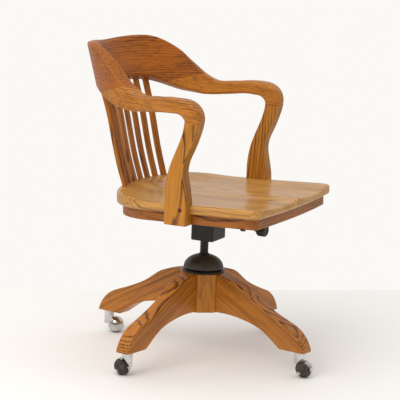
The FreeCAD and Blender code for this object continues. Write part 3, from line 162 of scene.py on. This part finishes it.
def oak(name, kind, along, pith, seed, bend=0.0):
    """Lacquered oak sawn from a log: growth rings, pores, streaks and a worn satin finish.

    along is the grain's direction and pith the offset of the log's heart from the origin.
    With a bend, the grain follows a level arc of that radius about the vertical axis.
    """
    tree = Tree(name)
    grain = Vector(along).normalized()
    turn = grain.to_track_quat("X", "Z").inverted()
    mapping = tree.node("ShaderNodeMapping", vector_type="POINT")
    mapping.inputs["Rotation"].default_value = turn.to_euler()
    offset = turn @ Vector(pith)
    mapping.inputs["Location"].default_value = (seed * 1.7, -offset.y, -offset.z)
    place = tree.object_space()
    if bend:
        parts = tree.node("ShaderNodeSeparateXYZ")
        tree.link(place, parts.inputs[0])
        across = tree.math("SQRT", tree.math("ADD", tree.math("POWER", parts.outputs[0], 2.0),
                                             tree.math("POWER", parts.outputs[1], 2.0)))
        angle = tree.math("ARCTAN2", parts.outputs[0], parts.outputs[1])
        run = tree.math("MULTIPLY", angle, bend)
        joined = tree.node("ShaderNodeCombineXYZ")
        for value, socket in zip((run, across, parts.outputs[2]), joined.inputs):
            tree.link(value, socket)
        place = joined.outputs[0]
    tree.link(place, mapping.inputs["Vector"])
    place = mapping.outputs["Vector"]

    # Growth rings about the heart, bent by slow noise along the trunk
    sway = tree.noise(tree.stretch(place, SWAY_CYCLES), 1.0, 2.0, colour=True)
    sway = tree.vector_math("SUBTRACT", sway, (0.5, 0.5, 0.5))
    bent = tree.vector_math("ADD", place, tree.stretch(sway, SWAY_REACH))
    flat = tree.stretch(bent, (0.0, 1.0, 1.0))
    radius = tree.node("ShaderNodeVectorMath", operation="LENGTH")
    tree.link(flat, radius.inputs[0])
    uneven = tree.noise(tree.stretch(place, UNEVEN_CYCLES), 1.0, 2.0)
    count = tree.math("MULTIPLY_ADD", radius.outputs["Value"], kind.rings, uneven)
    ring = tree.math("FRACT", count)
    early = tree.math("SUBTRACT", 1.0, tree.ramp(ring, 0.0, 0.42))
    early = tree.math("MAXIMUM", early, tree.ramp(ring, 0.90, 1.0))
    strength = tree.noise(tree.stretch(place, STRENGTH_CYCLES), 1.0, 2.0)
    early = tree.math("MULTIPLY", early, tree.ramp(strength, 0.30, 0.68, 0.25, 1.0))

    # Pores run along the grain and crowd into the early wood
    pore_noise = tree.noise(tree.stretch(place, PORE_CYCLES), 1.0, 2.0, 0.6)
    pores = tree.ramp(pore_noise, 0.52, 0.66)
    pores = tree.math("MULTIPLY", pores, tree.math("MULTIPLY_ADD", early, 0.7, 0.3))
    fibre = tree.noise(tree.stretch(place, FIBRE_CYCLES), 1.0, 3.0, 0.65)
    streaks = tree.noise(tree.stretch(bent, STREAK_CYCLES), 1.0, 3.0, 0.6)
    patches = tree.noise(tree.stretch(place, PATCH_CYCLES), 1.0, 3.0, 0.5)

    # Dark lines, fibres, streaks and slow patches of colour
    shade = tree.math("MULTIPLY", early, RING_SHADE * kind.contrast)
    for figure, low, high, amount in ((fibre, 0.35, 0.70, FIBRE_SHADE),
                                      (streaks, 0.40, 0.64, STREAK_SHADE * kind.contrast),
                                      (patches, 0.35, 0.70, PATCH_SHADE)):
        part = tree.math("MULTIPLY", tree.ramp(figure, low, high), amount)
        shade = tree.math("ADD", shade, part)
    shade = tree.math("SUBTRACT", shade, SHADE_OFFSET, clamp=True)
    colour = tree.mix(shade, kind.light, kind.dark)
    deep = tuple(c * 0.35 for c in kind.dark[:3]) + (1.0,)
    colour = tree.mix(tree.math("MULTIPLY", pores, PORE_SHADE), colour, deep)

    # Lacquer rubbed thin: paler and greyer in soft patches
    rubbed = tree.noise(place, RUBBED_CYCLES, 4.0, 0.6)
    rubbed = tree.ramp(rubbed, 0.52, 0.80)
    pale = tuple(c * 0.85 + 0.03 for c in kind.light[:3]) + (1.0,)
    colour = tree.mix(tree.math("MULTIPLY", rubbed, kind.wear), colour, pale)
    tree.link(colour, tree.shader.inputs["Base Color"])

    gloss = tree.math("MULTIPLY_ADD", rubbed, 0.14, kind.roughness)
    gloss = tree.math("MULTIPLY_ADD", pores, 0.18, gloss)
    tree.link(gloss, tree.shader.inputs["Roughness"])
    tree.shader.inputs["Specular IOR Level"].default_value = SPECULAR
    tree.shader.inputs["Coat Weight"].default_value = COAT
    tree.shader.inputs["Coat Roughness"].default_value = COAT_ROUGHNESS
    relief = tree.math("SUBTRACT", tree.math("MULTIPLY", fibre, 0.25), pores)
    tree.bump(relief, 0.3, GRAIN_RELIEF)
    return tree.material


# Metals and rubber

def painted_iron(name, low, high):
    """Dark machine paint between two tones, chipped a little to bare metal."""
    tree = Tree(name)
    place = tree.object_space()
    grain = tree.noise(place, 420.0, 4.0, 0.6)
    cloud = tree.noise(place, 22.0, 4.0, 0.6)
    colour = tree.mix(tree.ramp(cloud, 0.35, 0.7), low, high)
    chips = tree.ramp(tree.noise(place, 150.0, 5.0, 0.7), 0.70, 0.76)
    colour = tree.mix(tree.math("MULTIPLY", chips, 0.5), colour, srgb(120, 112, 98))
    tree.link(colour, tree.shader.inputs["Base Color"])
    rough = tree.math("MULTIPLY_ADD", cloud, 0.25, 0.30)
    tree.link(rough, tree.shader.inputs["Roughness"])
    tree.shader.inputs["Metallic"].default_value = 0.25
    tree.bump(grain, 0.25, 0.0005)
    return tree.material


def threaded_iron(name, pitch, low, high):
    """The same paint over a screw thread cut between two heights, with painted shade in the thread's
    grooves and a painted highlight on its crests.
    """
    tree = Tree(name)
    place = tree.object_space()
    split = tree.node("ShaderNodeSeparateXYZ")
    tree.link(place, split.inputs[0])
    angle = tree.math("ARCTAN2", split.outputs[1], split.outputs[0])
    climb = tree.math("DIVIDE", split.outputs[2], pitch)
    turn = tree.math("MULTIPLY_ADD", angle, -1 / (2 * math.pi), climb)
    tooth = tree.math("PINGPONG", turn, 0.5)
    inside = tree.math("MULTIPLY", tree.math("GREATER_THAN", split.outputs[2], low),
                       tree.math("LESS_THAN", split.outputs[2], high))
    tooth = tree.math("MULTIPLY", tooth, inside)
    # Painted shade and highlight: the colour runs from the dark paint in the thread's grooves to a
    # lighter tone on its crests
    colour = tree.mix(tree.ramp(tooth, 0.1, 0.5), srgb(30, 30, 27), srgb(72, 70, 64))
    tree.link(colour, tree.shader.inputs["Base Color"])
    wear = tree.noise(place, 90.0, 3.0, 0.5)
    tree.link(tree.math("MULTIPLY_ADD", wear, 0.2, 0.28), tree.shader.inputs["Roughness"])
    tree.shader.inputs["Metallic"].default_value = 0.5
    tree.bump(tooth, 0.9, 0.0015)
    return tree.material


def chrome(name):
    """Polished chrome with fine handling marks."""
    tree = Tree(name)
    place = tree.object_space()
    marks = tree.noise(tree.stretch(place, (900.0, 160.0, 160.0)), 1.0, 4.0, 0.7)
    haze = tree.noise(place, 60.0, 3.0, 0.6)
    colour = tree.mix(tree.ramp(haze, 0.4, 0.75), srgb(214, 214, 212), srgb(178, 176, 170))
    tree.link(colour, tree.shader.inputs["Base Color"])
    rough = tree.math("MULTIPLY_ADD", haze, 0.14, 0.05)
    tree.link(rough, tree.shader.inputs["Roughness"])
    tree.shader.inputs["Metallic"].default_value = 1.0
    tree.bump(marks, 0.06, 0.0002)
    return tree.material


def plain_steel(name):
    """Drawn steel with lengthwise die marks."""
    tree = Tree(name)
    place = tree.object_space()
    marks = tree.noise(tree.stretch(place, (1200.0, 60.0, 1200.0)), 1.0, 3.0, 0.6)
    colour = tree.mix(marks, srgb(120, 120, 118), srgb(168, 168, 166))
    tree.link(colour, tree.shader.inputs["Base Color"])
    tree.link(tree.math("MULTIPLY_ADD", marks, 0.2, 0.28), tree.shader.inputs["Roughness"])
    tree.shader.inputs["Metallic"].default_value = 1.0
    tree.bump(marks, 0.15, 0.0002)
    return tree.material


def rubber(name):
    """Grey-brown tread, scuffed and dusty."""
    tree = Tree(name)
    place = tree.object_space()
    dust = tree.noise(place, 160.0, 4.0, 0.65)
    scuff = tree.noise(place, 900.0, 3.0, 0.6)
    colour = tree.mix(tree.ramp(dust, 0.4, 0.75), srgb(44, 38, 33), srgb(92, 82, 72))
    tree.link(colour, tree.shader.inputs["Base Color"])
    tree.link(tree.math("MULTIPLY_ADD", scuff, 0.2, 0.55), tree.shader.inputs["Roughness"])
    tree.bump(scuff, 0.3, 0.0003)
    return tree.material


def dress(name, material):
    """Gives a CAD node its material."""
    mesh = nodes[name].data
    if not mesh.materials:
        mesh.materials.append(material)
    for index in range(len(mesh.materials)):
        mesh.materials[index] = material


# Grain of each wooden piece

LEG_TURN = math.radians(169.4)
LEG_NAMES = ("leg_right", "leg_front", "leg_left", "leg_back")


def leg_direction(index, drop=0.0):
    angle = LEG_TURN + index * math.pi / 2
    return Vector((math.cos(angle), math.sin(angle), drop))


for index, name in enumerate(LEG_NAMES):
    out = leg_direction(index, -0.55)
    side = Vector((-out.y, out.x, 0))
    heart = side * 0.030 + Vector((0, 0, 0.02 - 0.03 * index))
    dress(name, oak(name + "_oak", LEG_OAK, out, heart, 0.37 * index + 0.2))

dress("hub_post", oak("hub_post_oak", HUB_OAK, (0.05, 0.03, 1), (0.13, 0.09, 0), 2.3))
dress("seat_board", oak("seat_board_oak", SEAT_OAK, (0.03, 1, 0.02), (0.02, 0, 0.33), 3.1))
dress("apron_front", oak("apron_front_oak", RAIL_OAK, (1, 0, 0), (0, -0.30, 0.33), 3.9))
dress("apron_back", oak("apron_back_oak", RAIL_OAK, (1, 0.05, 0), (0, 0.30, 0.36), 4.4))
for offset, name in enumerate(("apron_left", "apron_right")):
    dress(name, oak(name + "_oak", RAIL_OAK, (0, 1, 0.02), (0.1, 0, 0.34), 5.0 + offset))
dress("battens", oak("battens_oak", RAIL_OAK, (1, 0, 0), (0, 0.1, 0.30), 6.1))
for offset, name in enumerate(("arm_post_left", "arm_post_right")):
    dress(name, oak(name + "_oak", POST_OAK, (0.02, -0.08, 1), (0.16, 0.05, 0), 7.0 + offset))
dress("arm_left", oak("arm_left_oak", ARM_OAK, (-0.12, 1, 0.02), (0.34, 0, 0.20), 8.2))
dress("arm_right", oak("arm_right_oak", ARM_OAK, (0.12, 1, 0.02), (-0.34, 0, 0.20), 8.9))
dress("crest_rail", oak("crest_rail_oak", CREST_OAK, (1, 0.02, 0.03), (0, 0.2, 1.2), 9.7, CREST_BEND))
for index in range(8):
    name = "slat_%d" % (index + 1)
    heart = (0.05 + 0.02 * index, 0.10, 0.0)
    dress(name, oak(name + "_oak", SLAT_OAK, (0.0, 0.27, 1), heart, 10.3 + 0.9 * index))
dress("post_plugs", oak("post_plugs_oak", PLUG_OAK, (1, 0, 0.1), (0, 0.1, 0.4), 20.1))
dress("leg_dowels", oak("leg_dowels_wood", SLAT_OAK, (1, 0.2, 0), (0, 0.1, 0.1), 21.3))

THREAD_PITCH = 0.0042
THREAD_LOW = 0.14
THREAD_HIGH = 0.312

turned_iron = painted_iron("turned_iron_paint", srgb(54, 51, 41), srgb(78, 73, 60))
for name in ("socket_flange", "flange_screws", "height_nut"):
    dress(name, turned_iron)
cast_iron = painted_iron("cast_iron_paint", srgb(24, 20, 13), srgb(38, 33, 24))
for name in ("control_housing", "tension_rod", "tension_knob", "seat_plate", "tilt_lever",
             "plate_screws"):
    dress(name, cast_iron)
dress("spindle", threaded_iron("spindle_thread", THREAD_PITCH, THREAD_LOW, THREAD_HIGH))
steel = plain_steel("drawn_steel")
for name in ("thrust_washer", "tilt_spring", "spring_cup", "pivot_pin", "post_bolts"):
    dress(name, steel)
bright = chrome("caster_chrome")
tread = rubber("caster_tread")
dress("caster_sleeves", bright)
for corner in ("right", "front", "left", "back"):
    for piece, material in (("hood", bright), ("axle", bright), ("wheel", tread), ("tyre", tread)):
        dress("caster_%s_%s" % (corner, piece), material)


# Floor, light and camera

def make_floor():
    """Pale paper that ends behind the chair, where the white wall begins."""
    along = Vector((-PAPER_EDGE_NORMAL.y, PAPER_EDGE_NORMAL.x, 0))
    far = PAPER_EDGE_NORMAL * PAPER_EDGE
    near = far - PAPER_EDGE_NORMAL * PAPER_DEPTH
    half = along * PAPER_WIDTH / 2
    mesh = bpy.data.meshes.new("floor")
    mesh.from_pydata([near - half, far - half, far + half, near + half], [], [(3, 2, 1, 0)])
    floor = bpy.data.objects.new("floor", mesh)
    bpy.context.scene.collection.objects.link(floor)
    tree = Tree("floor_paper")
    tree.shader.inputs["Base Color"].default_value = PAPER_COLOUR
    tree.shader.inputs["Roughness"].default_value = 0.9
    mesh.materials.append(tree.material)


def area_light(name, position, target, size, power, colour):
    data = bpy.data.lights.new(name, "AREA")
    data.shape = "RECTANGLE"
    data.size, data.size_y = size
    data.energy = power
    data.color = colour
    lamp = bpy.data.objects.new(name, data)
    lamp.location = position
    lamp.rotation_mode = "QUATERNION"
    lamp.rotation_quaternion = (Vector(target) - Vector(position)).to_track_quat("-Z", "Y")
    bpy.context.scene.collection.objects.link(lamp)


def make_world():
    """White wall for the camera. As light it is brightest above and behind, dimmer in mirrors."""
    world = bpy.data.worlds.new("studio")
    bpy.context.scene.world = world
    world.use_nodes = True
    tree = world.node_tree
    tree.nodes.clear()

    facing = add_node(tree, "ShaderNodeVectorMath", operation="DOT_PRODUCT")
    tree.links.new(add_node(tree, "ShaderNodeTexCoord").outputs["Generated"], facing.inputs[0])
    facing.inputs[1].default_value = BRIGHT_SIDE
    level = add_node(tree, "ShaderNodeMapRange", interpolation_type="SMOOTHSTEP")
    tree.links.new(facing.outputs["Value"], level.inputs["Value"])
    level.inputs["From Min"].default_value = -0.5
    level.inputs["From Max"].default_value = 0.8
    level.inputs["To Min"].default_value = DIM_LEVEL
    level.inputs["To Max"].default_value = BRIGHT_LEVEL
    path = add_node(tree, "ShaderNodeLightPath")
    dimmed = add_node(tree, "ShaderNodeMapRange")
    tree.links.new(path.outputs["Is Glossy Ray"], dimmed.inputs["Value"])
    dimmed.inputs["To Min"].default_value = 1.0
    dimmed.inputs["To Max"].default_value = MIRROR_LEVEL
    strength = add_node(tree, "ShaderNodeMath", operation="MULTIPLY")
    tree.links.new(level.outputs["Result"], strength.inputs[0])
    tree.links.new(dimmed.outputs["Result"], strength.inputs[1])
    light = add_node(tree, "ShaderNodeBackground")
    light.inputs["Color"].default_value = LIGHT_COLOUR
    tree.links.new(strength.outputs[0], light.inputs["Strength"])
    wall = add_node(tree, "ShaderNodeBackground")
    wall.inputs["Color"].default_value = WALL_COLOUR
    mix = add_node(tree, "ShaderNodeMixShader")
    tree.links.new(path.outputs["Is Camera Ray"], mix.inputs[0])
    tree.links.new(light.outputs[0], mix.inputs[1])
    tree.links.new(wall.outputs[0], mix.inputs[2])
    tree.links.new(mix.outputs[0], add_node(tree, "ShaderNodeOutputWorld").inputs["Surface"])


# The paper's far edge lies square to this level direction, this far from the swivel axis
PAPER_EDGE_NORMAL = Vector((0.818, 0.575, 0))
PAPER_EDGE = 0.72
PAPER_DEPTH = 12.0
PAPER_WIDTH = 18.0
PAPER_COLOUR = srgb(246, 245, 242)
WALL_COLOUR = srgb(251, 249, 246)
LIGHT_COLOUR = (1.0, 0.99, 0.98, 1.0)
DIM_LEVEL = 0.38
BRIGHT_LEVEL = 1.0
BRIGHT_SIDE = (0.40, 0.40, 0.82)
MIRROR_LEVEL = 0.65
MIDDLE = (0.0, 0.0, 0.45)
KEY_PLACE = (-2.2, 0.3, 2.8)
KEY_SPAN = (2.4, 2.4)
KEY_WATTS = 46.0
KEY_COLOUR = (1.0, 0.97, 0.93)

make_floor()
make_world()
area_light("key", KEY_PLACE, MIDDLE, KEY_SPAN, KEY_WATTS, KEY_COLOUR)

# Camera solved from the photograph: the frame is PHOTO_WIDTH pixels square
PHOTO_WIDTH = 400.0
AZIMUTH = math.radians(-64.95)
ELEVATION = math.radians(10.40)
ROLL = math.radians(2.33)
DISTANCE = 4.706
TARGET = Vector((0.0, 0.0, 0.4154))
FOCAL_PIXELS = 1781.2
CENTRE_X = 206.17
CENTRE_Y = 200.43


def make_camera():
    back = Vector((math.sin(AZIMUTH) * math.cos(ELEVATION),
                   -math.cos(AZIMUTH) * math.cos(ELEVATION), math.sin(ELEVATION)))
    level = Vector((math.cos(AZIMUTH), math.sin(AZIMUTH), 0))
    up = back.cross(level)
    right = level * math.cos(ROLL) + up * math.sin(ROLL)
    top = up * math.cos(ROLL) - level * math.sin(ROLL)
    data = bpy.data.cameras.new("photo_camera")
    data.sensor_fit = "HORIZONTAL"
    data.sensor_width = 36.0
    data.lens = FOCAL_PIXELS / PHOTO_WIDTH * data.sensor_width
    data.shift_x = (PHOTO_WIDTH / 2 - CENTRE_X) / PHOTO_WIDTH
    data.shift_y = (CENTRE_Y - PHOTO_WIDTH / 2) / PHOTO_WIDTH
    data.clip_start = 0.1
    data.clip_end = 60.0
    camera = bpy.data.objects.new("photo_camera", data)
    bpy.context.scene.collection.objects.link(camera)
    turn = Matrix((right, top, back)).transposed().to_4x4()
    camera.matrix_world = Matrix.Translation(TARGET + back * DISTANCE) @ turn
    bpy.context.scene.camera = camera


make_camera()
bpy.context.scene.view_settings.view_transform = "Standard"
